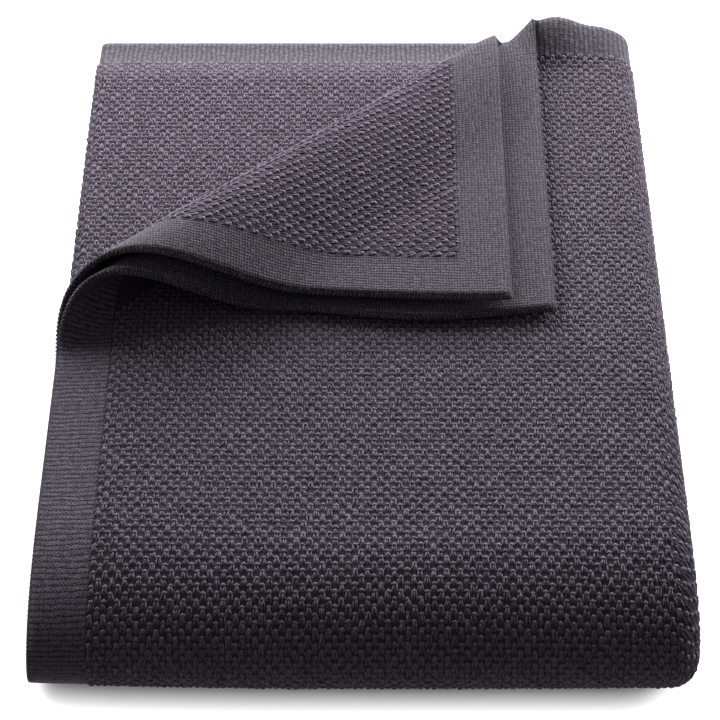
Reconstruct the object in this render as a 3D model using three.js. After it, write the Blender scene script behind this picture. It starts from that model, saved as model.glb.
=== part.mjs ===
// A knitted throw folded in four across its width and then in half along its length.
// One back corner of its two upper layers is turned back over the top.
// Millimetres, +Z up: X across the folded throw, Y from its rounded front fold to its open back.
import * as THREE from "three";

// The throw laid out flat: a thick pearl-stitch middle with a thinner plain border knitted in one with it.
const THROW_WIDTH = 1696;
const THROW_LENGTH = 1300;
const BORDER = 37;
const BORDER_THICK = 4.4;
const MIDDLE_THICK = 6.6;
const EDGE_STEP = 6;
const BORDER_BLEND = 30;

// The folded stack: distance between layers, how much deeper than high the front fold is at the innermost
// and the outermost layer, and how far each layer's fold reaches in front of the one inside it.
const PITCH = 10.55;
const TOP_LEVEL = 3;
const FRONT_STRETCH_INNER = 1.5;
const FRONT_STRETCH_OUTER = 2.3;
const FRONT_STEP = 12.7;
const EVEN_WALK = 0.1;
const MIDDLE_Z = (TOP_LEVEL + 0.5) * PITCH + MIDDLE_THICK / 2;

// Towards its two corners the front of the stack is drawn out, by a share of its depth, and its left corner
// draws back.
const LEFT_DEEPER = 0.28;
const LEFT_DEEPER_SPAN = 300;
const RIGHT_DEEPER = 0.22;
const RIGHT_DEEPER_SPAN = 200;
const LEFT_DRAWN_BACK = 4;
const LEFT_DRAWN_BACK_SPAN = 170;

// Across, from the left edge of layer 1: the centre lines that the side folds turn about.
const LEFT_FOLD_X = 6;
const SECOND_EDGE_X = -5;
const SECOND_EDGE_TUCK = 4;
const OUTER_TURN = 1.5;
const INNER_TURN = 0.5;
const TURN_ARCS = Math.PI * PITCH * (OUTER_TURN + 2 * INNER_TURN);
const RIGHT_FOLD_X = (THROW_WIDTH - TURN_ARCS + 2 * LEFT_FOLD_X + SECOND_EDGE_X) / 4;

// How far each layer's back edges reach behind the start of layer 1's front fold, above and below.
const REACH = [
  { layer: 1, above: 563, below: 554 },
  { layer: 4, above: 597, below: 595 },
  { layer: 3, above: 592, below: 589 },
  { layer: 2, above: 551, below: 567 },
];
const REACH_BLEND = 70;
const REACH_BLEND_OUTER = 160;
const EVEN_CLOTH = 420;

// The thin borders let the back of the stack settle, most at the left, and the edges of layers 1 and 2
// close up.
const BACK_DROP_LEFT = 11;
const BACK_DROP_RIGHT = 4;
const BACK_DROP_FADE_X = 300;
const EDGE_SETTLE = 3.4;

// The turned corner of layers 1 and 2. fold is the sum of distances from the two edges at the mirror line,
// behind is how much less far back the layer's edge reaches than layer 1's, and the wave pushes the edge
// of the flap forward by its size, about a place along X.
const FLAPS = [
  {
    layer: 1, edgeX: 0, behind: 0, fold: 344.5, rest: 7.4, settle: 80,
    wave: 10, waveX: 255, waveReach: 110,
  },
  {
    layer: 2, edgeX: SECOND_EDGE_X, behind: 12, fold: 318.6, rest: 14.8, settle: 90,
    wave: 11, waveX: 290, waveReach: 220,
  },
];
// Half heights of layer 1's roll at even places along the mirror line, from the left edge to the back edge.
const ROLL_HALF_HEIGHTS = [24, 15.5, 9.5, 4.4];
const ROLL_SPAN = 500;
const ROLL_SLIM = 0.95;
const ROLL_EASE = 0.92;
const ROLL_GAP_MIDDLE = 8.2;
const ROLL_GAP_BORDER = 5.8;
const WAVE_DEPTH = 70;
const TURNED_BLEND = 30;
// The back edges of layers 1 and 2 dip at the end of the roll and lift beside it.
const BACK_LIFTS = [
  { x: 250, lift: 0 },
  { x: 306, lift: -5 },
  { x: 318, lift: -4.5 },
  { x: 363, lift: 14 },
  { x: 394, lift: 5 },
  { x: 414, lift: 0 },
];
const BACK_LIFT_DEPTH = 55;

// Spacing of the points of the surface.
const CORNER = RIGHT_FOLD_X;
const CORNER_CELLS = 13;
const ROW_CELL = 45;
const ROLL_ROWS = 12;
const SETTLE_ROWS = 6;
const SETTLE_CROWD = 1.5;
const FLAP_ROWS = 6;
const FRONT_CELLS = 16;
const SLOPE = 0.5;
const NEAREST = 8;

const ROOT2 = Math.SQRT2;

function smooth(t) {
  const c = Math.min(1, Math.max(0, t));
  return c * c * (3 - 2 * c);
}

function mix(from, to, share) {
  return from + (to - from) * share;
}

// Length of half an ellipse with these two half axes.
function halfEllipse(p, q) {
  return (Math.PI / 2) * (3 * (p + q) - Math.sqrt((3 * p + q) * (p + 3 * q)));
}

// 1 at an edge, fading to 0 a little inside its border.
function nearEdge(distance) {
  return smooth(1 - distance / (BORDER + BORDER_BLEND));
}

// The runs of the section across the throw: four flat layers joined by three side folds.
const LAYER1 = RIGHT_FOLD_X;
const OUTER = LAYER1 + Math.PI * OUTER_TURN * PITCH;
const LAYER4 = OUTER + RIGHT_FOLD_X - LEFT_FOLD_X;
const LEFT = LAYER4 + Math.PI * INNER_TURN * PITCH;
const LAYER3 = LEFT + RIGHT_FOLD_X - LEFT_FOLD_X;
const INNER = LAYER3 + Math.PI * INNER_TURN * PITCH;

// Place across and level in the stack, for a distance along the section from layer 1's free edge.
function section(a) {
  const turned = (from, turn) => (a - from) / (turn * PITCH);
  if (a <= LAYER1) return { x: a, level: TOP_LEVEL };
  if (a <= OUTER) {
    const angle = turned(LAYER1, OUTER_TURN);
    return {
      x: RIGHT_FOLD_X + OUTER_TURN * PITCH * Math.sin(angle),
      level: OUTER_TURN * (1 + Math.cos(angle)),
    };
  }
  if (a <= LAYER4) return { x: RIGHT_FOLD_X - (a - OUTER), level: 0 };
  if (a <= LEFT) {
    const angle = turned(LAYER4, INNER_TURN);
    return {
      x: LEFT_FOLD_X - INNER_TURN * PITCH * Math.sin(angle),
      level: INNER_TURN * (1 - Math.cos(angle)),
    };
  }
  if (a <= LAYER3) return { x: LEFT_FOLD_X + (a - LEFT), level: 1 };
  if (a <= INNER) {
    const angle = turned(LAYER3, INNER_TURN);
    return {
      x: RIGHT_FOLD_X + INNER_TURN * PITCH * Math.sin(angle),
      level: 1 + INNER_TURN * (1 - Math.cos(angle)),
    };
  }
  return { x: RIGHT_FOLD_X - (a - INNER), level: 2 };
}

// Reach of the back edge, changing between layers near the side folds.
function reach(a, side) {
  const [first, fourth, third, second] = REACH.map((row) => row[side]);
  const toFourth = smooth((a - LAYER1) / REACH_BLEND_OUTER);
  const toThird = smooth((a - LAYER4) / (LEFT - LAYER4));
  const toSecond = smooth((a - LAYER3 + REACH_BLEND) / (INNER - LAYER3 + 2 * REACH_BLEND));
  return mix(mix(mix(first, fourth, toFourth), third, toThird), second, toSecond);
}

// 1 at a corner of the front fold, fading to 0 at a span from it.
function nearCorner(distance, span) {
  return Math.pow(Math.min(1, Math.max(0, 1 - distance / span)), 2);
}

// How much longer the front of the stack is at a place across than in the middle.
function drawnOut(x) {
  const left = LEFT_DEEPER * nearCorner(x, LEFT_DEEPER_SPAN);
  const right = RIGHT_DEEPER * nearCorner(RIGHT_FOLD_X - x, RIGHT_DEEPER_SPAN);
  return 1 + left + right;
}

// Depth of the front fold at a level of the stack, where it starts, and the cloth in it and before it.
// The innermost fold is too tight to be drawn out.
function evenDepth(level) {
  return mix(FRONT_STRETCH_INNER, FRONT_STRETCH_OUTER, level / TOP_LEVEL) * (level + 0.5) * PITCH;
}

function frontDepth(level, x) {
  return evenDepth(level) * mix(1, drawnOut(x), smooth(level));
}

function frontStart(level, x) {
  const fromFront = drawnOut(x) * ((TOP_LEVEL - level) * FRONT_STEP + evenDepth(level));
  return fromFront - evenDepth(TOP_LEVEL) + LEFT_DRAWN_BACK * nearCorner(x, LEFT_DRAWN_BACK_SPAN);
}

function frontLength(level, x) {
  return halfEllipse(frontDepth(level, x), (level + 0.5) * PITCH);
}

function beforeFront(level, x) {
  return (THROW_LENGTH - frontLength(level, x)) / 2;
}

// Place behind the front fold: true to the cloth near the back edge, eased towards the start of the fold.
function behindFront(fromEdge, cloth, farthest, start) {
  if (fromEdge <= EVEN_CLOTH) return farthest - fromEdge;
  return mix(farthest - EVEN_CLOTH, start, (fromEdge - EVEN_CLOTH) / (cloth - EVEN_CLOTH));
}

// Layer 1's roll at a place along the mirror line, and layer 2's around it.
function roll(flap, along) {
  const last = ROLL_HALF_HEIGHTS.length - 1;
  const shared = along + (flap.edgeX - flap.behind) / ROOT2;
  const place = Math.min(1, Math.max(0, shared / ROLL_SPAN + 0.5)) * last;
  const before = Math.min(last - 1, Math.floor(place));
  const share = place - before;
  let high = mix(ROLL_HALF_HEIGHTS[before], ROLL_HALF_HEIGHTS[before + 1], share);
  let wide = ROLL_SLIM * high;
  if (flap.layer === 2) {
    const first = FLAPS[0];
    const toEdge = (first.fold - ROOT2 * Math.abs(shared)) / 2;
    const gap = mix(ROLL_GAP_BORDER, ROLL_GAP_MIDDLE, smooth(toEdge / BORDER));
    const below = PITCH - EDGE_SETTLE * nearEdge(toEdge);
    high += (gap + below) / 2;
    wide += gap;
  }
  return { high, wide, cloth: ROLL_EASE * halfEllipse(wide, high) };
}

// The lift of the back edges of layers 1 and 2, eased between the rows of its table.
function backLift(x, y) {
  const next = BACK_LIFTS.findIndex((row) => row.x > x);
  if (next < 1) return 0;
  const [one, two] = BACK_LIFTS.slice(next - 1, next + 1);
  const lift = mix(one.lift, two.lift, smooth((x - one.x) / (two.x - one.x)));
  return lift * smooth(1 - (REACH[0].above - y) / BACK_LIFT_DEPTH);
}

// How much of that lift a place in the section takes: all in layers 1 and 2, none in layers 3 and 4.
function liftShare(a, level) {
  if (a <= OUTER) return smooth(level / TOP_LEVEL);
  return a >= LAYER3 ? smooth(level - 1) : 0;
}

// Where a point of layer 1 or 2 lies, from its distances u and w to its left and back edges.
// x and back are measured from layer 1's left edge and the layer's back edge, lift from layer 1.
function turnedCorner(flap, u, w) {
  const beyond = (flap.fold - u - w) / ROOT2;
  const along = (u - w) / ROOT2;
  const { high, wide, cloth } = roll(flap, along);
  const start = flap.layer === 1 ? -EDGE_SETTLE * nearEdge(u) : -PITCH + EDGE_SETTLE * nearEdge(w);
  const angle = Math.PI * Math.min(1, Math.max(0, beyond / cloth + 0.5));
  let across = beyond;
  let lift = start;
  if (beyond > cloth / 2) {
    const fall = smooth((beyond - cloth / 2) / flap.settle);
    across = -beyond;
    lift = mix(start + 2 * high, flap.rest, fall);
  } else if (beyond > -cloth / 2) {
    across = -cloth / 2 + wide * Math.sin(angle);
    lift = start + high * (1 - Math.cos(angle));
  }
  const tucked = tuck(flap, u) * smooth(1 - (2 * angle) / Math.PI);
  const x = (flap.fold + ROOT2 * along - ROOT2 * across) / 2 + flap.edgeX + tucked;
  const over = smooth((beyond - cloth / 2) / TURNED_BLEND);
  const wave = smooth(1 - Math.abs(x - flap.waveX) / flap.waveReach) * smooth(1 - u / WAVE_DEPTH);
  const back = (flap.fold - ROOT2 * along - ROOT2 * across) / 2 + flap.wave * wave * over;
  return { x, back, lift };
}

// The flat part of layer 2 is eased to the right, so that its left edge lies under layer 1's.
function tuck(flap, u) {
  return flap.layer === 2 ? SECOND_EDGE_TUCK * (1 - u / CORNER) : 0;
}

// How far the back of the lower layers settles, per millimetre of height.
function backDrop(x, fromEdge) {
  const toRight = smooth((x - BACK_DROP_FADE_X) / (RIGHT_FOLD_X - BACK_DROP_FADE_X));
  const drop = mix(BACK_DROP_LEFT, BACK_DROP_RIGHT, toRight);
  return (drop * smooth(1 - fromEdge / (BORDER + BORDER_BLEND))) / (MIDDLE_Z + (1 + 0.5) * PITCH);
}

// Middle of the cloth at a point of the flat throw: a across it, b along it from the upper back edge.
function clothMiddle(a, b) {
  const { x, level } = section(a);
  const rise = (level + 0.5) * PITCH;
  const before = beforeFront(level, x);
  const front = frontLength(level, x);
  const start = frontStart(level, x);
  const flap = a <= LAYER1 ? FLAPS[0] : a >= INNER ? FLAPS[1] : null;
  const u = flap && flap.layer === 2 ? THROW_WIDTH - a : a;
  const placeX = flap ? x + tuck(flap, u) : x;
  const leftDrop = flap && flap.layer === 1 ? EDGE_SETTLE * nearEdge(u) : 0;
  if (flap && u + b < CORNER) {
    const place = turnedCorner(flap, u, b);
    const y = reach(a, "above") - place.back;
    const z = MIDDLE_Z + (TOP_LEVEL + 0.5) * PITCH + place.lift;
    return new THREE.Vector3(place.x, y, z + backLift(place.x, y));
  }
  if (b <= before) {
    const y = behindFront(b, before, reach(a, "above"), start);
    const share = liftShare(a, level);
    const raised = a >= LAYER3 ? EDGE_SETTLE * nearEdge(b) * share : 0;
    const z = (MIDDLE_Z + rise) * (1 - backDrop(x, b) * (1 - share));
    return new THREE.Vector3(placeX, y, z - leftDrop + raised + backLift(x, y) * share);
  }
  if (b < before + front) {
    const share = (b - before) / front;
    const angle = Math.PI * share - EVEN_WALK * Math.sin(2 * Math.PI * share);
    const y = start - frontDepth(level, x) * Math.sin(angle);
    const z = MIDDLE_Z + rise * Math.cos(angle) - (leftDrop * (1 + Math.cos(angle))) / 2;
    return new THREE.Vector3(placeX, y, z);
  }
  const fromEdge = THROW_LENGTH - b;
  const y = behindFront(fromEdge, before, reach(a, "below"), start);
  const z = MIDDLE_Z - rise;
  const settled = (z - MIDDLE_THICK / 2) * backDrop(x, fromEdge);
  return new THREE.Vector3(placeX, y, z - settled);
}

// Unit direction out of the face that is up on layer 1.
function clothNormal(a, b) {
  const a0 = Math.max(0, a - SLOPE);
  const a1 = Math.min(THROW_WIDTH, a + SLOPE);
  const b0 = Math.max(0, b - SLOPE);
  const b1 = Math.min(THROW_LENGTH, b + SLOPE);
  const alongA = clothMiddle(a1, b).sub(clothMiddle(a0, b));
  const alongB = clothMiddle(a, b1).sub(clothMiddle(a, b0));
  return alongB.cross(alongA).normalize();
}

function thickness(a, b) {
  const fromEdge = Math.min(a, THROW_WIDTH - a, b, THROW_LENGTH - b);
  return mix(BORDER_THICK, MIDDLE_THICK, smooth((fromEdge - BORDER) / EDGE_STEP + 0.5));
}

// The flat throw as triangles between rows of points, kept anticlockwise.
const points = [];
const triangles = [];

function addPoint(a, b) {
  points.push({ a, b });
  return points.length - 1;
}

function addTriangle(i, j, k) {
  const [p, q, r] = [points[i], points[j], points[k]];
  const area = (q.a - p.a) * (r.b - p.b) - (r.a - p.a) * (q.b - p.b);
  triangles.push(area > 0 ? [i, j, k] : [i, k, j]);
}

function distance(i, j) {
  return Math.hypot(points[i].a - points[j].a, points[i].b - points[j].b);
}

// Fill the strip between two rows, taking the shorter way across each time.
function fillBetween(one, two) {
  let i = 0;
  let j = 0;
  while (i < one.length - 1 || j < two.length - 1) {
    const canOne = i < one.length - 1;
    const canTwo = j < two.length - 1;
    if (canOne && (!canTwo || distance(one[i + 1], two[j]) <= distance(one[i], two[j + 1]))) {
      addTriangle(one[i], one[i + 1], two[j]);
      i += 1;
    } else {
      addTriangle(one[i], two[j + 1], two[j]);
      j += 1;
    }
  }
}

function evenly(from, to, cells) {
  return Array.from({ length: cells + 1 }, (_, i) => mix(from, to, i / cells));
}

// Distances from an edge that catch the step at the border's inner side.
const BORDER_STATIONS = [0, BORDER - EDGE_STEP / 2, BORDER + EDGE_STEP / 2];

const CORNER_STATIONS = [
  ...BORDER_STATIONS.slice(0, 2),
  ...evenly(BORDER_STATIONS[2], CORNER - BORDER_STATIONS[2], CORNER_CELLS),
  ...BORDER_STATIONS.slice(0, 2).reverse().map((s) => CORNER - s),
];

// A line of points along b at one place across, from where the turned corner ends.
function column(a, fine, from) {
  const { x, level } = section(a);
  const before = beforeFront(level, x);
  const front = frontLength(level, x);
  const upper = fine
    ? [...CORNER_STATIONS, ...evenly(CORNER, before, 3).slice(1, -1)]
    : [...BORDER_STATIONS, ...evenly(BORDER + BORDER_BLEND, before, 4).slice(0, -1)];
  const lower = [...BORDER_STATIONS, ...evenly(BORDER + BORDER_BLEND, before, 3).slice(0, -1)]
    .sort((p, q) => q - p)
    .map((s) => THROW_LENGTH - s);
  const list = [
    ...upper.filter((b) => b > from + NEAREST),
    ...evenly(before, before + front, FRONT_CELLS),
    ...lower,
  ];
  return [addPoint(a, from), ...list.map((b) => addPoint(a, b))];
}

// Rows of a turned corner, from the flap's tip through the roll to the flat cloth before it.
function cornerRows(flap) {
  const rows = [];
  const tip = flap.fold / ROOT2;
  const widest = roll(flap, -tip).cloth / 2 + flap.settle;
  for (const beyond of evenly(tip, widest, FLAP_ROWS).slice(1)) rows.push({ flat: beyond, rolled: 0 });
  for (const share of evenly(1, 0, SETTLE_ROWS).slice(1)) {
    rows.push({ flat: flap.settle * Math.pow(share, SETTLE_CROWD), rolled: 0.5 });
  }
  for (const share of evenly(0.5, -0.5, ROLL_ROWS).slice(1)) rows.push({ flat: 0, rolled: share });
  return rows;
}

// The place along the mirror line where a row meets a given distance from the left or the back edge.
function rowMeets(flap, row, edge, value) {
  let along = 0;
  for (let step = 0; step < 40; step += 1) {
    const beyond = row.flat + row.rolled * roll(flap, along).cloth;
    const fromFold = (2 * value - flap.fold) / ROOT2 + beyond;
    along = edge === "left" ? fromFold : -fromFold;
  }
  return along;
}

function rowPoint(flap, row, along) {
  const beyond = row.flat + row.rolled * roll(flap, along).cloth;
  const u = Math.max(0, (flap.fold - ROOT2 * beyond + ROOT2 * along) / 2);
  const w = Math.max(0, (flap.fold - ROOT2 * beyond - ROOT2 * along) / 2);
  return addPoint(flap.layer === 2 ? THROW_WIDTH - u : u, w);
}

function cornerRow(flap, row) {
  const [left, right] = [rowMeets(flap, row, "left", 0), rowMeets(flap, row, "back", 0)];
  const leftSteps = BORDER_STATIONS.slice(1).map((s) => rowMeets(flap, row, "left", s));
  const rightSteps = BORDER_STATIONS.slice(1).map((s) => rowMeets(flap, row, "back", s)).reverse();
  const inner = rightSteps[0] - leftSteps[1];
  const cells = Math.round(inner / ROW_CELL);
  const places =
    inner > ROW_CELL
      ? [left, leftSteps[0], ...evenly(leftSteps[1], rightSteps[0], cells), rightSteps[1], right]
      : evenly(left, right, Math.max(1, Math.round((right - left) / ROW_CELL)));
  return places.map((along) => rowPoint(flap, row, along));
}

function fillCorner(flap, firstPoints) {
  const tip = [addPoint(flap.layer === 2 ? THROW_WIDTH : 0, 0)];
  const rows = [tip, ...cornerRows(flap).map((row) => cornerRow(flap, row)), firstPoints];
  rows.slice(1).forEach((row, i) => fillBetween(rows[i], row));
}

// All columns across the throw, with the two corners filled apart.
const layer1Columns = CORNER_STATIONS.map((u) => column(u, true, CORNER - u));
const hiddenStations = [
  ...evenly(LAYER1, OUTER, 8).slice(1),
  ...evenly(OUTER, LAYER4, 5).slice(1),
  ...evenly(LAYER4, LEFT, 8).slice(1),
  ...evenly(LEFT, LAYER3, 7).slice(1),
  ...evenly(LAYER3, INNER, 6).slice(1, -1),
];
const hiddenColumns = hiddenStations.map((a) => column(a, false, 0));
const layer2Columns = CORNER_STATIONS.slice()
  .reverse()
  .map((u) => column(THROW_WIDTH - u, true, CORNER - u));
const columns = [...layer1Columns, ...hiddenColumns, ...layer2Columns];
columns.slice(1).forEach((next, i) => fillBetween(columns[i], next));
fillCorner(FLAPS[0], layer1Columns.map((list) => list[0]));
fillCorner(FLAPS[1], layer2Columns.map((list) => list[0]).reverse());

// Both faces of the cloth and the rim between them, as one closed surface.
function clothGeometry() {
  const upper = [];
  const lower = [];
  for (const { a, b } of points) {
    const middle = clothMiddle(a, b);
    const half = clothNormal(a, b).multiplyScalar(thickness(a, b) / 2);
    upper.push(...middle.clone().add(half).toArray());
    lower.push(...middle.clone().sub(half).toArray());
  }
  const count = points.length;
  const index = [];
  const open = new Map();
  for (const [i, j, k] of triangles) {
    index.push(i, k, j, i + count, j + count, k + count);
    for (const [from, to] of [[i, j], [j, k], [k, i]]) {
      if (!open.delete(to + "_" + from)) open.set(from + "_" + to, [from, to]);
    }
  }
  for (const [from, to] of open.values()) {
    index.push(from, to, to + count, from, to + count, from + count);
  }
  const geometry = new THREE.BufferGeometry();
  geometry.setAttribute("position", new THREE.Float32BufferAttribute([...upper, ...lower], 3));
  geometry.setIndex(index);
  geometry.computeBoundingBox();
  const { min, max } = geometry.boundingBox;
  geometry.translate(-(min.x + max.x) / 2, -(min.y + max.y) / 2, -min.z);
  geometry.computeVertexNormals();
  return geometry;
}

const knit = new THREE.MeshStandardMaterial({ color: 0x4d4853, roughness: 0.95, metalness: 0 });
const blanket = new THREE.Mesh(clothGeometry(), knit);
blanket.name = "blanket";

const group = new THREE.Group();
group.add(blanket);

export default group;
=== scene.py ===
import math

import bmesh
import bpy
import numpy as np
from mathutils import Matrix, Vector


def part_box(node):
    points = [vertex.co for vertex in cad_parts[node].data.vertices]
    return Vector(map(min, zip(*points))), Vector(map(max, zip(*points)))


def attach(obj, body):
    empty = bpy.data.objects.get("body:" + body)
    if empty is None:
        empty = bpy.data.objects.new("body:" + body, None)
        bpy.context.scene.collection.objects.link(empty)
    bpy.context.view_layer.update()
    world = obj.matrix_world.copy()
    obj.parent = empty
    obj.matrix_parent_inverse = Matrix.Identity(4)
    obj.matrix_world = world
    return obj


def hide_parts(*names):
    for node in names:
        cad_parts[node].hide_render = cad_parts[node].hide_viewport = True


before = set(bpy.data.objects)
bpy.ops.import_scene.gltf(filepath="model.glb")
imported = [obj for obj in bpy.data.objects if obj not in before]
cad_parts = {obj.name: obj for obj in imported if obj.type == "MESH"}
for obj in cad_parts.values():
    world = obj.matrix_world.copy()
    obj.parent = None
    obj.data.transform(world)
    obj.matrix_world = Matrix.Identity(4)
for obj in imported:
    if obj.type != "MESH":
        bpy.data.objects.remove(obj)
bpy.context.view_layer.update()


# The ground of the throw: one sheet of cotton knitted in one with its plain border.
# It is folded in four across and in half along, and the back left corner of its two
# upper layers is turned back over the top in a soft roll. Sizes are in millimetres.
THROW_WIDTH = 1696.0
THROW_LENGTH = 1300.0
BORDER = 37.0
BORDER_BLEND = 30.0
SOLID_THICK = 6.6
GROUND_THICK = 3.8
PITCH = 10.55
TOP_LEVEL = 3
FRONT_STRETCH_INNER = 1.5
FRONT_STRETCH_OUTER = 2.3
FRONT_STEP = 12.7
EVEN_WALK = 0.1
LEFT_DEEPER = 0.28
LEFT_DEEPER_SPAN = 300.0
RIGHT_DEEPER = 0.22
RIGHT_DEEPER_SPAN = 200.0
LEFT_DRAWN_BACK = 4.0
LEFT_DRAWN_BACK_SPAN = 170.0
MIDDLE_Z = (TOP_LEVEL + 0.5) * PITCH + SOLID_THICK / 2
LEFT_FOLD_X = 6.0
SECOND_EDGE_X = -5.0
SECOND_EDGE_TUCK = 4.0
OUTER_TURN = 1.5
INNER_TURN = 0.5
TURN_ARCS = math.pi * PITCH * (OUTER_TURN + 2 * INNER_TURN)
RIGHT_FOLD_X = (THROW_WIDTH - TURN_ARCS + 2 * LEFT_FOLD_X + SECOND_EDGE_X) / 4

# Where each layer and each side fold ends, measured across the flat throw from layer 1's edge.
LAYER1 = RIGHT_FOLD_X
OUTER = LAYER1 + math.pi * OUTER_TURN * PITCH
LAYER4 = OUTER + RIGHT_FOLD_X - LEFT_FOLD_X
LEFT = LAYER4 + math.pi * INNER_TURN * PITCH
LAYER3 = LEFT + RIGHT_FOLD_X - LEFT_FOLD_X
INNER = LAYER3 + math.pi * INNER_TURN * PITCH

# How far back the layers reach, above and below the front fold: layers 1, 4, 3 and 2.
REACH = {"above": (563.0, 597.0, 592.0, 551.0), "below": (554.0, 595.0, 589.0, 567.0)}
REACH_BLEND = 70.0
REACH_BLEND_OUTER = 160.0
EVEN_CLOTH = 420.0
BACK_DROP_LEFT = 11.0
BACK_DROP_RIGHT = 4.0
BACK_DROP_FADE_X = 300.0
BACK_DROP_HEIGHT = MIDDLE_Z + 1.5 * PITCH
EDGE_SETTLE = 3.4
FLAPS = (
    dict(layer=1, edge_x=0.0, behind=0.0, fold=344.5, rest=7.4, settle=80.0,
         wave=10.0, wave_x=255.0, wave_reach=110.0),
    dict(layer=2, edge_x=SECOND_EDGE_X, behind=12.0, fold=318.6, rest=14.8, settle=90.0,
         wave=11.0, wave_x=290.0, wave_reach=220.0),
)
ROLL_HALF_HEIGHTS = (24.0, 15.5, 9.5, 4.4)
ROLL_SPAN = 500.0
ROLL_SLIM = 0.95
ROLL_EASE = 0.92
ROLL_GAP_MIDDLE = 8.2
ROLL_GAP_BORDER = 5.8
WAVE_DEPTH = 70.0
TURNED_BLEND = 30.0
BACK_LIFTS = dict(
    x=(250.0, 306.0, 318.0, 363.0, 394.0, 414.0),
    lift=(0.0, -5.0, -4.5, 14.0, 5.0, 0.0),
)
BACK_LIFT_DEPTH = 55.0
ROOT2 = math.sqrt(2)
MM = 0.001

low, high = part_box("blanket")
SHIFT_X = high.x / MM - (RIGHT_FOLD_X + OUTER_TURN * PITCH + SOLID_THICK / 2)
SHIFT_Y = low.y / MM + FRONT_STRETCH_OUTER * (TOP_LEVEL + 0.5) * PITCH + SOLID_THICK / 2


def smooth(t):
    t = np.clip(t, 0.0, 1.0)
    return t * t * (3 - 2 * t)


def mix(start, end, share):
    return start + (end - start) * share


def half_ellipse(p, q):
    """Length of half an ellipse with these half axes."""
    return math.pi / 2 * (3 * (p + q) - np.sqrt((3 * p + q) * (p + 3 * q)))


def near_edge(distance):
    """One at the edge of the throw, fading to nothing behind its border."""
    return smooth(1 - distance / (BORDER + BORDER_BLEND))


def section(a):
    """Place across the stack, and level in it, of the cloth at a distance across the flat throw."""
    outer = (a - LAYER1) / (OUTER_TURN * PITCH)
    left = (a - LAYER4) / (INNER_TURN * PITCH)
    inner = (a - LAYER3) / (INNER_TURN * PITCH)
    runs = [a <= LAYER1, a <= OUTER, a <= LAYER4, a <= LEFT, a <= LAYER3, a <= INNER]
    x = np.select(runs, [
        a,
        RIGHT_FOLD_X + OUTER_TURN * PITCH * np.sin(outer),
        RIGHT_FOLD_X - (a - OUTER),
        LEFT_FOLD_X - INNER_TURN * PITCH * np.sin(left),
        LEFT_FOLD_X + (a - LEFT),
        RIGHT_FOLD_X + INNER_TURN * PITCH * np.sin(inner),
    ], RIGHT_FOLD_X - (a - INNER))
    level = np.select(runs, [
        TOP_LEVEL + 0 * a,
        OUTER_TURN * (1 + np.cos(outer)),
        0 * a,
        INNER_TURN * (1 - np.cos(left)),
        1 + 0 * a,
        1 + INNER_TURN * (1 - np.cos(inner)),
    ], 2 + 0 * a)
    return x, level


def reach(a, side):
    """How far back the cloth reaches, blended over the side folds."""
    first, fourth, third, second = REACH[side]
    to_fourth = smooth((a - LAYER1) / REACH_BLEND_OUTER)
    to_third = smooth((a - LAYER4) / (LEFT - LAYER4))
    to_second = smooth((a - LAYER3 + REACH_BLEND) / (INNER - LAYER3 + 2 * REACH_BLEND))
    return mix(mix(mix(first, fourth, to_fourth), third, to_third), second, to_second)


def near_corner(distance, span):
    return np.clip(1 - distance / span, 0, 1) ** 2


def drawn_out(x):
    """How much deeper the front fold is towards its two corners."""
    left = LEFT_DEEPER * near_corner(x, LEFT_DEEPER_SPAN)
    return 1 + left + RIGHT_DEEPER * near_corner(RIGHT_FOLD_X - x, RIGHT_DEEPER_SPAN)


def even_depth(level):
    return mix(FRONT_STRETCH_INNER, FRONT_STRETCH_OUTER, level / TOP_LEVEL) * (level + 0.5) * PITCH


def front_depth(level, x):
    """How far forward the front fold of a level reaches."""
    return even_depth(level) * mix(1, drawn_out(x), smooth(level))


def front_start(level, x):
    """Where the front fold of a level starts."""
    from_front = drawn_out(x) * ((TOP_LEVEL - level) * FRONT_STEP + even_depth(level))
    return from_front - even_depth(TOP_LEVEL) + LEFT_DRAWN_BACK * near_corner(x, LEFT_DRAWN_BACK_SPAN)


def front_length(level, x):
    return half_ellipse(front_depth(level, x), (level + 0.5) * PITCH)


def before_front(level, x):
    """Length of the cloth from the back edge to the front fold."""
    return (THROW_LENGTH - front_length(level, x)) / 2


def behind_front(from_edge, cloth, farthest, start):
    """Place along the stack of cloth behind the front fold, even at the back and eased to the fold."""
    eased = mix(farthest - EVEN_CLOTH, start, (from_edge - EVEN_CLOTH) / (cloth - EVEN_CLOTH))
    return np.where(from_edge <= EVEN_CLOTH, farthest - from_edge, eased)


def roll(flap, along):
    """Half height and half width of a turned corner's roll, and the cloth that goes round it."""
    shared = along + (flap["edge_x"] - flap["behind"]) / ROOT2
    places = np.linspace(-ROLL_SPAN / 2, ROLL_SPAN / 2, len(ROLL_HALF_HEIGHTS))
    tall = np.interp(shared, places, ROLL_HALF_HEIGHTS)
    wide = ROLL_SLIM * tall
    if flap["layer"] == 2:
        to_edge = (FLAPS[0]["fold"] - ROOT2 * np.abs(shared)) / 2
        gap = mix(ROLL_GAP_BORDER, ROLL_GAP_MIDDLE, smooth(to_edge / BORDER))
        below = PITCH - EDGE_SETTLE * near_edge(to_edge)
        tall = tall + (gap + below) / 2
        wide = wide + gap
    return tall, wide, ROLL_EASE * half_ellipse(wide, tall)


def back_lift(x, y):
    """The waves of the upper layers' back edge beside the turned corner."""
    places = np.array(BACK_LIFTS["x"])
    lifts = np.array(BACK_LIFTS["lift"])
    step = np.clip(np.searchsorted(places, x, side="right") - 1, 0, len(places) - 2)
    share = smooth((x - places[step]) / (places[step + 1] - places[step]))
    lift = mix(lifts[step], lifts[step + 1], share)
    return lift * smooth(1 - (REACH["above"][0] - y) / BACK_LIFT_DEPTH)


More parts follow.
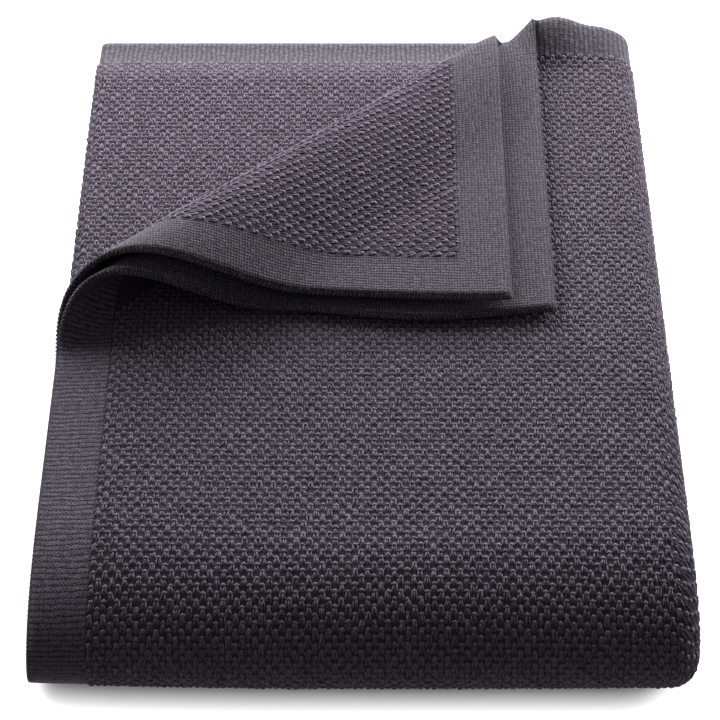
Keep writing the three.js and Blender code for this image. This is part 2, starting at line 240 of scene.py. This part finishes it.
def tuck(flap, u):
    """How far the second layer is tucked in, most at its free edge."""
    return SECOND_EDGE_TUCK * (1 - u / LAYER1) if flap["layer"] == 2 else 0 * u


def turned_corner(flap, u, w):
    """Place across, distance from the back and lift of a turned corner's cloth, u and w from its edges."""
    beyond = (flap["fold"] - u - w) / ROOT2
    along = (u - w) / ROOT2
    tall, wide, cloth = roll(flap, along)
    if flap["layer"] == 1:
        start = -EDGE_SETTLE * near_edge(u)
    else:
        start = -PITCH + EDGE_SETTLE * near_edge(w)
    angle = math.pi * np.clip(beyond / cloth + 0.5, 0, 1)
    over_roll = beyond > cloth / 2
    before_roll = beyond <= -cloth / 2
    fall = smooth((beyond - cloth / 2) / flap["settle"])
    on_roll = -cloth / 2 + wide * np.sin(angle)
    across = np.where(over_roll, -beyond, np.where(before_roll, beyond, on_roll))
    rolled = start + tall * (1 - np.cos(angle))
    up_to_roll = np.where(before_roll, start, rolled)
    lift = np.where(over_roll, mix(start + 2 * tall, flap["rest"], fall), up_to_roll)
    tucked = tuck(flap, u) * smooth(1 - 2 * angle / math.pi)
    x = (flap["fold"] + ROOT2 * along - ROOT2 * across) / 2 + flap["edge_x"] + tucked
    over = smooth((beyond - cloth / 2) / TURNED_BLEND)
    wave = smooth(1 - np.abs(x - flap["wave_x"]) / flap["wave_reach"]) * smooth(1 - u / WAVE_DEPTH)
    back = (flap["fold"] - ROOT2 * along - ROOT2 * across) / 2 + flap["wave"] * wave * over
    return x, back, lift


def back_drop(x, from_edge):
    """Share of its height by which the stack settles at the back, where thin borders lie on each other."""
    to_right = smooth((x - BACK_DROP_FADE_X) / (RIGHT_FOLD_X - BACK_DROP_FADE_X))
    drop = mix(BACK_DROP_LEFT, BACK_DROP_RIGHT, to_right)
    return drop * near_edge(from_edge) / BACK_DROP_HEIGHT


def fold_cloth(a, b):
    """Middle of the cloth, in metres, at distances in millimetres across and along the flat throw."""
    a = np.clip(np.asarray(a, float), 0, THROW_WIDTH)
    b = np.clip(np.asarray(b, float), 0, THROW_LENGTH)
    x, level = section(a)
    rise = (level + 0.5) * PITCH
    before = before_front(level, x)
    front = front_length(level, x)
    depth = front_depth(level, x)
    start = front_start(level, x)
    first = a <= LAYER1
    second = a >= INNER
    from_left = np.where(second, THROW_WIDTH - a, a)
    left_drop = np.where(first, EDGE_SETTLE * near_edge(a), 0)
    place_x = x + np.where(second, tuck(FLAPS[1], from_left), 0)
    share = np.where(a <= OUTER, smooth(level / TOP_LEVEL), np.where(a >= LAYER3, smooth(level - 1), 0))
    raised = np.where(a >= LAYER3, EDGE_SETTLE * near_edge(b) * share, 0)
    upper_y = behind_front(b, before, reach(a, "above"), start)
    upper_z = (MIDDLE_Z + rise) * (1 - back_drop(x, b) * (1 - share)) - left_drop + raised
    upper_z = upper_z + back_lift(x, upper_y) * share
    walk = np.clip((b - before) / front, 0, 1)
    angle = math.pi * walk - EVEN_WALK * np.sin(2 * math.pi * walk)
    front_y = start - depth * np.sin(angle)
    front_z = MIDDLE_Z + rise * np.cos(angle) - left_drop * (1 + np.cos(angle)) / 2
    from_end = THROW_LENGTH - b
    lower_y = behind_front(from_end, before, reach(a, "below"), start)
    lower_z = MIDDLE_Z - rise - (MIDDLE_Z - rise - SOLID_THICK / 2) * back_drop(x, from_end)
    runs = [b <= before, b < before + front]
    y = np.select(runs, [upper_y, front_y], lower_y)
    z = np.select(runs, [upper_z, front_z], lower_z)
    for flap, where in zip(FLAPS, (first, second)):
        corner_x, back, lift = turned_corner(flap, from_left, b)
        inside = where & (from_left + b < LAYER1)
        corner_y = reach(a, "above") - back
        corner_z = MIDDLE_Z + (TOP_LEVEL + 0.5) * PITCH + lift + back_lift(corner_x, corner_y)
        place_x = np.where(inside, corner_x, place_x)
        y = np.where(inside, corner_y, y)
        z = np.where(inside, corner_z, z)
    return np.stack([place_x + SHIFT_X, y + SHIFT_Y, z], axis=-1) * MM


def cloth_axes(a, b, step=0.4):
    """Unit directions across and along the cloth and out of its upper face."""
    across = fold_cloth(a + step, b) - fold_cloth(a - step, b)
    along = fold_cloth(a, b + step) - fold_cloth(a, b - step)
    across /= np.linalg.norm(across, axis=-1, keepdims=True)
    out = np.cross(along, across)
    out /= np.linalg.norm(out, axis=-1, keepdims=True)
    return across, np.cross(across, out), out


class Thread:
    """A shader value that takes part in plain arithmetic, and makes the nodes that follow it."""

    def __init__(self, tree, socket=None):
        self.tree = tree
        self.socket = socket

    def node(self, kind, settings, inputs, output=0):
        made = self.tree.nodes.new(kind)
        for name, value in settings.items():
            setattr(made, name, value)
        for name, value in inputs.items():
            if isinstance(value, Thread):
                self.tree.links.new(value.socket, made.inputs[name])
            else:
                made.inputs[name].default_value = value
        return Thread(self.tree, made.outputs[output])

    def math(self, operation, one, two=0.0):
        return self.node("ShaderNodeMath", {"operation": operation}, {0: one, 1: two})

    def __add__(self, other):
        return self.math("ADD", self, other)

    def __radd__(self, other):
        return self.math("ADD", other, self)

    def __sub__(self, other):
        return self.math("SUBTRACT", self, other)

    def __rsub__(self, other):
        return self.math("SUBTRACT", other, self)

    def __mul__(self, other):
        return self.math("MULTIPLY", self, other)

    def __rmul__(self, other):
        return self.math("MULTIPLY", other, self)

    def noise(self, scale, detail):
        return self.node("ShaderNodeTexNoise", {}, {"Vector": self, "Scale": scale, "Detail": detail})

    def ease(self, start, end):
        settings = {"interpolation_type": "SMOOTHSTEP"}
        inputs = {"Value": self, "From Min": start, "From Max": end}
        return self.node("ShaderNodeMapRange", settings, inputs)

    def between(self, dark, light):
        # Sockets 0, 6 and 7 of a colour mix are its share and its two colours, and 2 is what comes out.
        return self.node("ShaderNodeMix", {"data_type": "RGBA"}, {0: self, 6: dark, 7: light}, 2)


COTTON = {
    "Specular IOR Level": 0.25,
    "Sheen Weight": 0.08,
    "Sheen Roughness": 0.55,
    "Sheen Tint": (0.80, 0.76, 0.86, 1.0),
}
ROUGH = 0.86
ROUGH_SPREAD = 0.1


def cotton(name):
    """A matte cotton material with its loose fibres, and the start of its shader tree."""
    material = bpy.data.materials.new(name)
    material.use_nodes = True
    shader = material.node_tree.nodes["Principled BSDF"]
    for socket, value in COTTON.items():
        shader.inputs[socket].default_value = value
    return material, shader, Thread(material.node_tree)


def finish_cotton(shader, colour, fibre, height, depth):
    """Joins a colour, a roughness that follows the fibres, and a relief of a depth in metres."""
    rough = fibre * ROUGH_SPREAD + ROUGH
    bump = colour.node("ShaderNodeBump", {}, {"Strength": 1.0, "Distance": depth, "Height": height})
    for name, value in (("Base Color", colour), ("Roughness", rough), ("Normal", bump)):
        colour.tree.links.new(value.socket, shader.inputs[name])


YARN_DARK = (0.013, 0.0095, 0.0145, 1.0)
BORDER_LIGHT = (0.142, 0.113, 0.159, 1.0)
MIDDLE_PAINTED_SHADE = (0.032, 0.0235, 0.0355, 1.0)
MIDDLE_STARTS = (BORDER - 0.6, BORDER + 1.4)
GROOVE_SHADE_STARTS = (BORDER - 1.8, BORDER + 0.2)
FINE_NOISE = dict(scale=0.9, detail=3.0)
BROAD_NOISE = dict(scale=0.06, detail=2.0)
PULL_NOISE = dict(scale=0.25, detail=1.0)
WALE = 3.9
COURSE = 2.5
COLUMN_WANDER = 0.9
COLUMN_PULL = 0.2
COLUMN_ROUND = 0.4
COLUMN_SHARE = 0.8
LOOP_SLANT = 1.3
LOOP_SHARE = 0.25
GRAIN_WANDER = 6
GRAIN_PULL = 5
GRAIN_SHARE = 0.22
GRAIN_LEVEL = 0.6
UNEVEN_SHARE = 0.9
EVEN_SHARE = 0.3
FINE_SHARE = 1.2
LIGHT_GAIN = 1.6
LIGHT_DROP = 1.45
END_PAINTED_SHADE = 0.27
END_BLEND = 60.0
BORDER_BUMP = 0.0009
TURN = 2 * math.pi

ground_cotton, shader, start = cotton("ground_cotton")
place = start.node("ShaderNodeAttribute", {"attribute_name": "flat_place"}, {}, "Vector")
across = start.node("ShaderNodeSeparateXYZ", {}, {0: place}, "X")
along = start.node("ShaderNodeSeparateXYZ", {}, {0: place}, "Y")
from_side = start.math("MINIMUM", across, THROW_WIDTH - across)
from_end = start.math("MINIMUM", along, THROW_LENGTH - along)
from_edge = start.math("MINIMUM", from_side, from_end)
middle = from_edge.ease(*MIDDLE_STARTS)
groove_shade = from_edge.ease(*GROOVE_SHADE_STARTS)
by_side = start.math("LESS_THAN", from_side, from_end)
run = by_side * along + (1 - by_side) * across
deep = by_side * across + (1 - by_side) * along
fine = place.noise(**FINE_NOISE)
broad = place.noise(**BROAD_NOISE)
pull = place.noise(**PULL_NOISE)

# The face shows columns of loops that run in from the edge, with painted shade that darkens the two ends
# of the throw. The back, turned up at the corner, shows grains.
half = start.math("PINGPONG", run * (1 / WALE) + broad * COLUMN_WANDER + pull * COLUMN_PULL, 0.5)
column = start.math("POWER", start.math("SINE", half * math.pi), COLUMN_ROUND)
loop = start.math("SINE", (deep * (1 / COURSE) + half * LOOP_SLANT) * TURN) * 0.5 + 0.5
grain_across = start.math("SINE", run * (2 * TURN / WALE) + broad * GRAIN_WANDER + pull * GRAIN_PULL)
grain_along = start.math("SINE", deep * (TURN / COURSE) + broad * GRAIN_WANDER - pull * GRAIN_PULL)
grain = (grain_across + grain_along) * GRAIN_SHARE + GRAIN_LEVEL
turned_up = start.math("LESS_THAN", from_side + along, FLAPS[0]["fold"])
knit = (1 - turned_up) * (column * COLUMN_SHARE + loop * LOOP_SHARE) + turned_up * grain
relief = knit * (pull * UNEVEN_SHARE + EVEN_SHARE) + fine * FINE_SHARE
# The borders at the two ends of the throw get painted shade, darker than the side borders.
end_shade = (1 - turned_up) * (from_side - from_end).ease(0.0, END_BLEND)
# The border's colour follows its relief: painted shade in the dips between columns, loops and grains,
# lighter on their crowns.
border_shade_share = relief * LIGHT_GAIN - LIGHT_DROP - end_shade * END_PAINTED_SHADE
# A thin dark line where the middle meets the border: painted shade in the crease between them.
border_colour = groove_shade.between(border_shade_share.between(YARN_DARK, BORDER_LIGHT), YARN_DARK)
# Between the stitches the ground is given a dark colour: painted shade where it lies deep under the yarn.
colour = middle.between(border_colour, MIDDLE_PAINTED_SHADE)
finish_cotton(shader, colour, fine, relief * (1 - middle), BORDER_BUMP)

# The grid has more lines where the cloth turns. A row is a stretch's start, its end and its cells.
LAYER_CELLS = 70
END_CELLS = 8
FRONT_PART = 128.0
FRONT_FROM = THROW_LENGTH / 2 - FRONT_PART
FRONT_TO = THROW_LENGTH / 2 + FRONT_PART
END_FROM = THROW_LENGTH - BORDER - BORDER_BLEND
ACROSS_STRETCHES = (
    (0, LAYER1, LAYER_CELLS),
    (LAYER1, OUTER, 12),
    (OUTER, LAYER4, 15),
    (LAYER4, LEFT, 8),
    (LEFT, LAYER3, 28),
    (LAYER3, INNER, 8),
)
ALONG_STRETCHES = (
    (0, LAYER1, LAYER_CELLS),
    (LAYER1, FRONT_FROM, 8),
    (FRONT_FROM, FRONT_TO, 42),
    (FRONT_TO, END_FROM, 10),
)


def grid_lines(stretches, last_lines):
    """Where the lines of the grid lie, with the lines of the last stretch given whole."""
    starts = [np.linspace(first, last, cells + 1)[:-1] for first, last, cells in stretches]
    return np.concatenate(starts + [last_lines])


across_lines = grid_lines(ACROSS_STRETCHES, THROW_WIDTH - np.linspace(LAYER1, 0, LAYER_CELLS + 1)[1:])
along_lines = grid_lines(ALONG_STRETCHES, np.linspace(END_FROM, THROW_LENGTH, END_CELLS + 1))
columns = len(across_lines) - 1
rows = len(along_lines) - 1
mesh = bmesh.new()
bmesh.ops.create_grid(mesh, x_segments=columns, y_segments=rows, size=0.5)
flat = np.array([vertex.co[:2] for vertex in mesh.verts])
a = np.interp((flat[:, 0] + 0.5) * columns, np.arange(columns + 1), across_lines)
b = np.interp((flat[:, 1] + 0.5) * rows, np.arange(rows + 1), along_lines)
for vertex, folded in zip(mesh.verts, fold_cloth(a, b)):
    vertex.co = folded

# Each turned corner has its diagonals along its own fold, so the two halves are split differently.
halves = ([], [])
for face in mesh.faces:
    middle_a = np.mean([a[vertex.index] for vertex in face.verts])
    halves[0 if middle_a < THROW_WIDTH / 2 else 1].append(face)
for faces, way in zip(halves, ("ALTERNATE", "FIXED")):
    bmesh.ops.triangulate(mesh, faces=faces, quad_method=way)
bmesh.ops.reverse_faces(mesh, faces=mesh.faces)
for face in mesh.faces:
    face.smooth = True
sheet = bpy.data.meshes.new("ground")
mesh.to_mesh(sheet)
mesh.free()
flat_place = sheet.attributes.new("flat_place", "FLOAT_VECTOR", "POINT")
flat_place.data.foreach_set("vector", np.stack([a, b, 0 * a], axis=1).astype(np.float32).ravel())
sheet.materials.append(ground_cotton)
ground = bpy.data.objects.new("ground", sheet)
bpy.context.scene.collection.objects.link(ground)
thickness = ground.modifiers.new("thickness", "SOLIDIFY")
thickness.thickness = GROUND_THICK * MM
thickness.offset = 0.0
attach(ground, "root")
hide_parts("blanket")


# The pearl stitches of the middle, chequered on the ground and knitted in with it: turned stitches,
# each one raised pearl of yarn, and plain stitches between them, each three strands that come from
# under the pearl behind and dip towards the one in front.
CELL_ACROSS = 4.15
CELL_ALONG = 4.65
FIRST_CELL = 1.8
# Plain strands carry a darker tone and pearls a lighter one: painted shade on the recessed strands and
# painted light on the raised pearls.
STRAND = dict(turned=False, y=-0.8, z=-0.15, long=4.4, broad=0.85, tall=1.15, dip=0.17, tone_and_shade=-0.2)
PEARL = dict(turned=True, y=0.0, z=0.3, long=2.1, broad=1.75, tall=1.2, dip=0.0, tone_and_shade=0.3)
ENDS = (
    dict(STRAND, x=-1.35, lean=-0.16),
    dict(STRAND, x=0.0, lean=0.0),
    dict(STRAND, x=1.35, lean=0.16),
    dict(PEARL, x=0.0, lean=1.57),
)
SUNK = 0.2
PLACE_SPREAD = 0.22
LIFT_SPREAD = 0.12
TURN_SPREAD = 0.12
SIZE_SPREAD = 0.09
SIZE_LIMITS = (0.75, 1.25)
FLAP_PAINTED_LIGHT = 0.6
STITCH_LIGHT = (0.163, 0.130, 0.178, 1.0)
FIBRE_NOISE = dict(scale=950.0, detail=1.0)
RISE_SHADE_SHARE = 0.4
TONE_SHARE = 0.3
FIBRE_SHARE = 1.7
STITCH_DROP = 0.65
STITCH_BUMP = 0.0004
SEED = 7


def yarn_end():
    """Points and triangles of a ball, to be stretched into a short end of yarn."""
    shape = bmesh.new()
    bmesh.ops.create_icosphere(shape, subdivisions=1, radius=1)
    points = np.array([vertex.co for vertex in shape.verts])
    faces = np.array([[vertex.index for vertex in face.verts] for face in shape.faces])
    shape.free()
    return points, faces


end_points, end_faces = yarn_end()


def strew(name, origins, axes, tones, material):
    """One joined mesh with a stretched yarn end at each origin, along axes in metres."""
    count = len(origins)
    size = len(end_points)
    placed = origins[:, None, :] + np.einsum("pk,nkc->npc", end_points, axes)
    index = (end_faces[None] + (np.arange(count) * size)[:, None, None]).ravel()
    joined = bpy.data.meshes.new(name)
    joined.vertices.add(count * size)
    joined.vertices.foreach_set("co", placed.astype(np.float32).ravel())
    joined.loops.add(len(index))
    joined.loops.foreach_set("vertex_index", index.astype(np.int32))
    joined.polygons.add(len(index) // 3)
    joined.polygons.foreach_set("loop_start", np.arange(0, len(index), 3, dtype=np.int32))
    joined.update(calc_edges=True)
    joined.shade_smooth()
    # The height of each point on its yarn end drives the painted shade of the stitch material.
    for label, values in (
        ("rise", np.tile(np.clip(end_points[:, 2], 0, 1), count)),
        ("tone_and_shade", np.repeat(tones, size)),
    ):
        attribute = joined.attributes.new(label, "FLOAT", "POINT")
        attribute.data.foreach_set("value", values.astype(np.float32))
    joined.materials.append(material)
    piece = bpy.data.objects.new(name, joined)
    bpy.context.scene.collection.objects.link(piece)
    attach(piece, "root")
    return piece


stitch_cotton, shader, start = cotton("stitch_cotton")
rise = start.node("ShaderNodeAttribute", {"attribute_name": "rise"}, {}, "Fac")
tone_and_shade = start.node("ShaderNodeAttribute", {"attribute_name": "tone_and_shade"}, {}, "Fac")
fibre = start.node("ShaderNodeTexCoord", {}, {}, "Object").noise(**FIBRE_NOISE)
# Each yarn end is lighter at its crown and darker low on its sides: painted shade where it sinks into the
# ground and meets its neighbours.
stitch_share = rise * RISE_SHADE_SHARE + tone_and_shade * TONE_SHARE + fibre * FIBRE_SHARE - STITCH_DROP
finish_cotton(shader, stitch_share.between(YARN_DARK, STITCH_LIGHT), fibre, fibre, STITCH_BUMP)

rng = np.random.default_rng(SEED)
first_cell = BORDER + FIRST_CELL
cells_across = int((THROW_WIDTH - 2 * first_cell) / CELL_ACROSS) + 1
cells_along = int((THROW_LENGTH - 2 * first_cell) / CELL_ALONG) + 1
cell_p, cell_q = np.meshgrid(np.arange(cells_across), np.arange(cells_along), indexing="ij")
cell_p, cell_q = cell_p.ravel(), cell_q.ravel()
cell_a = np.linspace(first_cell, THROW_WIDTH - BORDER - FIRST_CELL, cells_across)[cell_p]
cell_b = np.linspace(first_cell, THROW_LENGTH - BORDER - FIRST_CELL, cells_along)[cell_q]
is_turned = (cell_p + cell_q) % 2 == 1

# Stitches are knitted where they show. Those under the turned corner, inside its roll, between the
# layers and on the underside are left out, but for a margin past the edge of what shows.
BACK_PART = 330.0
COVERED_MARGIN = 45.0
ROLL_MARGIN = 6
FRONT_MARGIN = 6
SIDE_MARGIN = 8
RIDGE_MARGIN = 25
from_left = np.where(cell_a > INNER, THROW_WIDTH - cell_a, cell_a)
cell_x, level = section(cell_a)
turn_start = before_front(level, cell_x)
turn_end = turn_start + front_length(level, cell_x)
cell_place = fold_cloth(cell_a, cell_b) / MM - (SHIFT_X, SHIFT_Y, 0)
to_ridge = cell_place[:, 0] + REACH["above"][0] - cell_place[:, 1]
on_first = cell_a <= LAYER1
beyond = [(flap["fold"] - from_left - cell_b) / ROOT2 for flap in FLAPS]
rolled = [roll(flap, (from_left - cell_b) / ROOT2)[2] / 2 for flap in FLAPS]
cover = FLAPS[0]["fold"] - COVERED_MARGIN
covered = (cell_a < cover) & (cell_b < cover)
on_top = on_first & (beyond[0] < ROLL_MARGIN - rolled[0]) & ~covered & (cell_b <= turn_start)
on_third = (cell_a > LEFT) & (cell_a <= LAYER3) & (cell_b < turn_start)
groups = {
    "stitches_back": on_top & (cell_b < BACK_PART),
    "stitches_top": on_top & (cell_b >= BACK_PART),
    "stitches_front": on_first & (cell_b > turn_start) & (cell_b < turn_end + FRONT_MARGIN),
    "stitches_side": (cell_a > LAYER1) & (cell_a <= OUTER + SIDE_MARGIN),
    "stitches_left": (cell_a > LAYER4 - SIDE_MARGIN) & (cell_a <= LEFT),
    "stitches_under_layer": on_third & (to_ridge < FLAPS[0]["fold"] + RIDGE_MARGIN),
    "stitches_flap": (cell_a > INNER) & (beyond[1] > -rolled[1]),
}
# The stitches of the turned-up corner are made lighter: painted light on the flap.
flap_painted_light = groups["stitches_flap"] * FLAP_PAINTED_LIGHT


def strands_of(chosen):
    """Origins, axes and tones of the yarn ends of the chosen cells, uneven as the yarn is."""
    strands = []
    for end in ENDS:
        own = chosen & (is_turned == end["turned"])
        count = int(own.sum())
        at_a = cell_a[own] + end["x"] + rng.normal(0, PLACE_SPREAD, count)
        at_b = cell_b[own] + end["y"] + rng.normal(0, PLACE_SPREAD, count)
        across, along, out = cloth_axes(at_a, at_b)
        turn = end["lean"] + rng.normal(0, TURN_SPREAD, count)[:, None]
        size = np.clip(rng.normal(1, SIZE_SPREAD, (3, count, 1)), *SIZE_LIMITS)
        side = across * np.cos(turn) - along * np.sin(turn)
        lift = GROUND_THICK / 2 + end["z"] - SUNK + rng.normal(0, LIFT_SPREAD, count)[:, None]
        origins = fold_cloth(at_a, at_b) + out * lift * MM
        axes = np.stack([
            side * size[0] * end["broad"],
            (np.cross(out, side) + out * end["dip"]) * size[1] * end["long"],
            out * size[2] * end["tall"],
        ], axis=1) * MM
        # Each end's tone is random, plus the painted shade or light of its kind of strand and the painted
        # light of the turned-up corner.
        strands.append((origins, axes, rng.random(count) + end["tone_and_shade"] + flap_painted_light[own]))
    return [np.concatenate(values) for values in zip(*strands)]


knitted = [strew(name, *strands_of(chosen), stitch_cotton) for name, chosen in groups.items()]


# The cast-off edge: a chain of slanted loops of the same yarn along all four edges of the
# throw, worked from the last row and left open to view.
CHAIN_STEP = 2.9
CHAIN_SLANT = 0.95
CHAIN_LONG = 2.4
CHAIN_BROAD = 1.05
CHAIN_DEEP = 1.7
CHAIN_LOWEST = 2.1

side_steps = np.arange(CHAIN_STEP / 2, THROW_LENGTH, CHAIN_STEP)
end_steps = np.arange(CHAIN_STEP / 2, THROW_WIDTH, CHAIN_STEP)
chain_a = np.concatenate([0 * side_steps, 0 * side_steps + THROW_WIDTH, end_steps, end_steps])
chain_b = np.concatenate([side_steps, side_steps, 0 * end_steps, 0 * end_steps + THROW_LENGTH])
chain_across, chain_along, chain_out = cloth_axes(chain_a, chain_b)
on_side = (np.arange(len(chain_a)) < 2 * len(side_steps))[:, None]
edge_run = np.where(on_side, chain_along, chain_across)
slant = edge_run * math.cos(CHAIN_SLANT) - chain_out * math.sin(CHAIN_SLANT)
edge_out = np.cross(chain_out, edge_run)
thick = np.cross(slant, edge_out)
chain_axes = np.stack([slant * CHAIN_LONG, edge_out * CHAIN_DEEP, thick * CHAIN_BROAD], axis=1) * MM
chain_origins = fold_cloth(chain_a, chain_b)
chain_origins[:, 2] = np.maximum(chain_origins[:, 2], CHAIN_LOWEST * MM)
chain_tones = rng.random(len(chain_a))
knitted.append(strew("chain_edge", chain_origins, chain_axes, chain_tones, stitch_cotton))


# The studio: a pale floor with a lamp of its own, three soft lights low behind and beside
# the throw, and a camera that looks down on the front fold. Lamps are placed in metres.
FLOOR_HALF = 6.0
FLOOR_COLOUR = (0.82, 0.82, 0.82, 1)
FLOOR_ROUGH = 0.9
THROW_AIM = (0.0, 0.1, 0.05)
FLOOR_AIM = (0.0, 0.0, 0.0)
LIGHTS = (
    dict(name="back_light", place=(0.0, 1.78, 0.46), aim=THROW_AIM, size=0.7, power=41.0),
    dict(name="right_light", place=(1.18, 0.93, 0.46), aim=THROW_AIM, size=0.7, power=45.5),
    dict(name="left_light", place=(-0.78, 1.02, 0.57), aim=THROW_AIM, size=0.8, power=31.5),
    dict(name="floor_light", place=(0.0, -1.2, 2.4), aim=FLOOR_AIM, size=2.4, power=168.0),
)
ROOM_COLOUR = (1, 1, 1, 1)
ROOM_LIGHT = 0.17
CAMERA_TILT = math.radians(41.73)
CAMERA_FAR = 2016.3
CAMERA_LENS = 138.05
CAMERA_SENSOR = 36.0
TARGET_X = 208.4
TARGET_Y = 259.4

floor_mesh = bmesh.new()
bmesh.ops.create_grid(floor_mesh, x_segments=1, y_segments=1, size=FLOOR_HALF)
floor_data = bpy.data.meshes.new("floor")
floor_mesh.to_mesh(floor_data)
floor_mesh.free()
floor = bpy.data.objects.new("floor", floor_data)
bpy.context.scene.collection.objects.link(floor)
floor_paint = bpy.data.materials.new("floor_paint")
floor_paint.use_nodes = True
floor_shader = floor_paint.node_tree.nodes["Principled BSDF"]
floor_shader.inputs["Base Color"].default_value = FLOOR_COLOUR
floor_shader.inputs["Roughness"].default_value = FLOOR_ROUGH
floor_data.materials.append(floor_paint)

# The floor throws no light back on the throw, and its lamp lights nothing else.
floor.visible_diffuse = False
floor_lit = bpy.data.collections.new("floor_lit")
bpy.context.scene.collection.children.link(floor_lit)
floor_lit.objects.link(floor)
for row in LIGHTS:
    lamp = bpy.data.lights.new(row["name"], "AREA")
    lamp.size = row["size"]
    lamp.energy = row["power"]
    light = bpy.data.objects.new(row["name"], lamp)
    bpy.context.scene.collection.objects.link(light)
    towards = np.array(row["aim"]) - np.array(row["place"])
    back = -towards / np.linalg.norm(towards)
    side = np.cross((0, 1, 0), back)
    side /= np.linalg.norm(side)
    turned = np.eye(4)
    turned[:3] = np.column_stack([side, np.cross(back, side), back, row["place"]])
    light.matrix_world = Matrix(turned.tolist())
    if row["name"] == "floor_light":
        light.light_linking.receiver_collection = floor_lit

room = bpy.data.worlds.new("studio")
room.use_nodes = True
room_shader = room.node_tree.nodes["Background"]
room_shader.inputs["Color"].default_value = ROOM_COLOUR
room_shader.inputs["Strength"].default_value = ROOM_LIGHT
bpy.context.scene.world = room
bpy.context.scene.view_settings.view_transform = "Standard"

lens = bpy.data.cameras.new("camera")
lens.lens = CAMERA_LENS
lens.sensor_width = CAMERA_SENSOR
camera = bpy.data.objects.new("camera", lens)
bpy.context.scene.collection.objects.link(camera)
camera.location = (
    (TARGET_X + SHIFT_X) * MM,
    (TARGET_Y + SHIFT_Y - CAMERA_FAR * math.cos(CAMERA_TILT)) * MM,
    CAMERA_FAR * math.sin(CAMERA_TILT) * MM,
)
camera.rotation_euler = (math.pi / 2 - CAMERA_TILT, 0, 0)
bpy.context.scene.camera = camera
